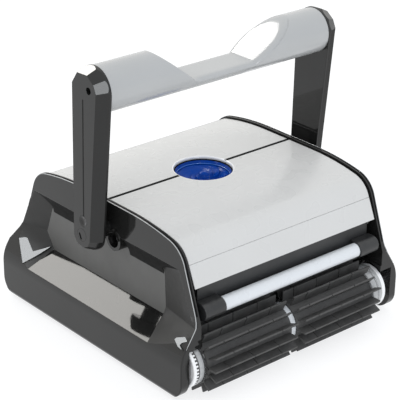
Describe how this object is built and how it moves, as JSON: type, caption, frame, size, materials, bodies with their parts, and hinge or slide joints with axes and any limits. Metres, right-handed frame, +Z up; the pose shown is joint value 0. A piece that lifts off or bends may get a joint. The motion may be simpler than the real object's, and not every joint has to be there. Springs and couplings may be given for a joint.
{
  "type": "pool cleaner",
  "caption": "Robotic pool cleaner: arched lids between dished side panels, belt-driven rubber brush rollers front and rear, pump outlet in the top and a tilting float handle.",
  "frame": {"origin": "on the floor, under the middle of the machine's box", "axes": "+X along the rollers towards the plain-ring side, -Y towards the front roller, +Z up"},
  "size_m": [0.426, 0.4362, 0.4147],
  "materials": {
    "white_plastic": "satin moulded",
    "white_tube": "satin",
    "dark_gloss": "glossy",
    "dark_matt": "satin",
    "grey_plastic": "satin",
    "silver_plastic": "satin",
    "blue_plastic": "glossy",
    "black_rubber": "matt rubber",
    "steel": "brushed",
    "bush_plastic": "matt",
    "bag_fabric": "fine woven mesh"
  },
  "bodies": {
    "chassis": {"axle_front": "steel", "axle_rear": "steel", "bag_frame_front": "steel", "bag_frame_rear": "steel", "bottom_plate": "grey_plastic", "bumper_bar_front": "white_tube", "bumper_bar_rear": "white_tube", "bumper_blocks": "dark_matt", "cable_gland": "dark_matt", "chassis_tub": "dark_matt", "control_board": "dark_matt", "drive_belt_front": "black_rubber", "drive_belt_rear": "black_rubber", "drive_motor": "steel", "fascia_front": "white_plastic", "fascia_rear": "white_plastic", "filter_bag_front": "bag_fabric", "filter_bag_rear": "bag_fabric", "lid_front": "white_plastic", "lid_rear": "white_plastic", "lid_seal": "black_rubber", "motor_cover": "dark_matt", "motor_housing": "dark_matt", "outlet_cup": "blue_plastic", "panel_screws": "steel", "pivot_bolts": "dark_matt", "pocket_liner_left": "grey_plastic", "pocket_liner_right": "grey_plastic", "pump_motor": "steel", "rim_gaskets": "black_rubber", "shaft_seal": "black_rubber", "side_panel_left": "dark_gloss", "side_panel_right": "dark_gloss"},
    "handle": {"handle_grip": "silver_plastic", "handle_arm_left": "dark_gloss", "handle_arm_right": "dark_gloss", "grip_screws": "steel"},
    "left_button": {"lock_button_left": "dark_gloss"},
    "right_button": {"lock_button_right": "dark_gloss"},
    "front_roller": {"roller_core_front": "white_tube", "drive_wheel_front": "white_tube", "end_ring_front": "white_tube", "roller_bushes_front": "bush_plastic", "brush_front_left": "black_rubber", "brush_front_right": "black_rubber"},
    "rear_roller": {"roller_core_rear": "white_tube", "drive_wheel_rear": "white_tube", "end_ring_rear": "white_tube", "roller_bushes_rear": "bush_plastic", "brush_rear_left": "black_rubber", "brush_rear_right": "black_rubber"},
    "drive_output": {"drive_shaft": "bush_plastic"},
    "pump_rotor": {"impeller": "blue_plastic", "impeller_shaft": "steel"},
    "front_flap": {"intake_flap_front": "grey_plastic"},
    "rear_flap": {"intake_flap_rear": "grey_plastic"},
    "tab_front_left": {"lock_tab_front_left": "grey_plastic"},
    "tab_front_right": {"lock_tab_front_right": "grey_plastic"},
    "tab_rear_left": {"lock_tab_rear_left": "grey_plastic"},
    "tab_rear_right": {"lock_tab_rear_right": "grey_plastic"}
  },
  "joints": [
    {"name": "handle_tilt", "type": "hinge", "parent": "chassis", "child": "handle", "pos_m": [0, -0.001, 0.178], "axis": [1, 0, 0], "range_deg": [-40, 35]},
    {"name": "left_button_press", "type": "slide", "parent": "handle", "child": "left_button", "axis": [1, 0, 0], "range_m": [0, 0.002], "stiffness_N_per_m": 400, "springref_m": -0.002},
    {"name": "right_button_press", "type": "slide", "parent": "handle", "child": "right_button", "axis": [-1, 0, 0], "range_m": [0, 0.002], "stiffness_N_per_m": 400, "springref_m": -0.002},
    {"name": "front_roller_spin", "type": "hinge", "parent": "chassis", "child": "front_roller", "pos_m": [0, -0.1719, 0.0462], "axis": [1, 0, 0], "continuous": true},
    {"name": "rear_roller_spin", "type": "hinge", "parent": "chassis", "child": "rear_roller", "pos_m": [0, 0.1719, 0.0462], "axis": [1, 0, 0], "continuous": true},
    {"name": "drive_output_spin", "type": "hinge", "parent": "chassis", "child": "drive_output", "pos_m": [0, 0, 0.036], "axis": [1, 0, 0], "continuous": true},
    {"name": "pump_spin", "type": "hinge", "parent": "chassis", "child": "pump_rotor", "pos_m": [0, 0, 0.197], "axis": [0, 0, 1], "continuous": true},
    {"name": "front_flap_lift", "type": "hinge", "parent": "chassis", "child": "front_flap", "pos_m": [0, -0.074, 0.0252], "axis": [-1, 0, 0], "range_deg": [0, 65]},
    {"name": "rear_flap_lift", "type": "hinge", "parent": "chassis", "child": "rear_flap", "pos_m": [0, 0.074, 0.0252], "axis": [1, 0, 0], "range_deg": [0, 65]},
    {"name": "tab_front_left_turn", "type": "hinge", "parent": "chassis", "child": "tab_front_left", "pos_m": [-0.112, -0.105, 0.012], "axis": [0, 0, 1], "range_deg": [0, 90]},
    {"name": "tab_front_right_turn", "type": "hinge", "parent": "chassis", "child": "tab_front_right", "pos_m": [0.112, -0.105, 0.012], "axis": [0, 0, -1], "range_deg": [0, 90]},
    {"name": "tab_rear_left_turn", "type": "hinge", "parent": "chassis", "child": "tab_rear_left", "pos_m": [-0.112, 0.105, 0.012], "axis": [0, 0, -1], "range_deg": [0, 90]},
    {"name": "tab_rear_right_turn", "type": "hinge", "parent": "chassis", "child": "tab_rear_right", "pos_m": [0.112, 0.105, 0.012], "axis": [0, 0, 1], "range_deg": [0, 90]}
  ],
  "couplings": [
    {"joint": "rear_roller_spin", "follows": "front_roller_spin", "ratio": 1},
    {"joint": "drive_output_spin", "follows": "front_roller_spin", "ratio": 3.41}
  ]
}
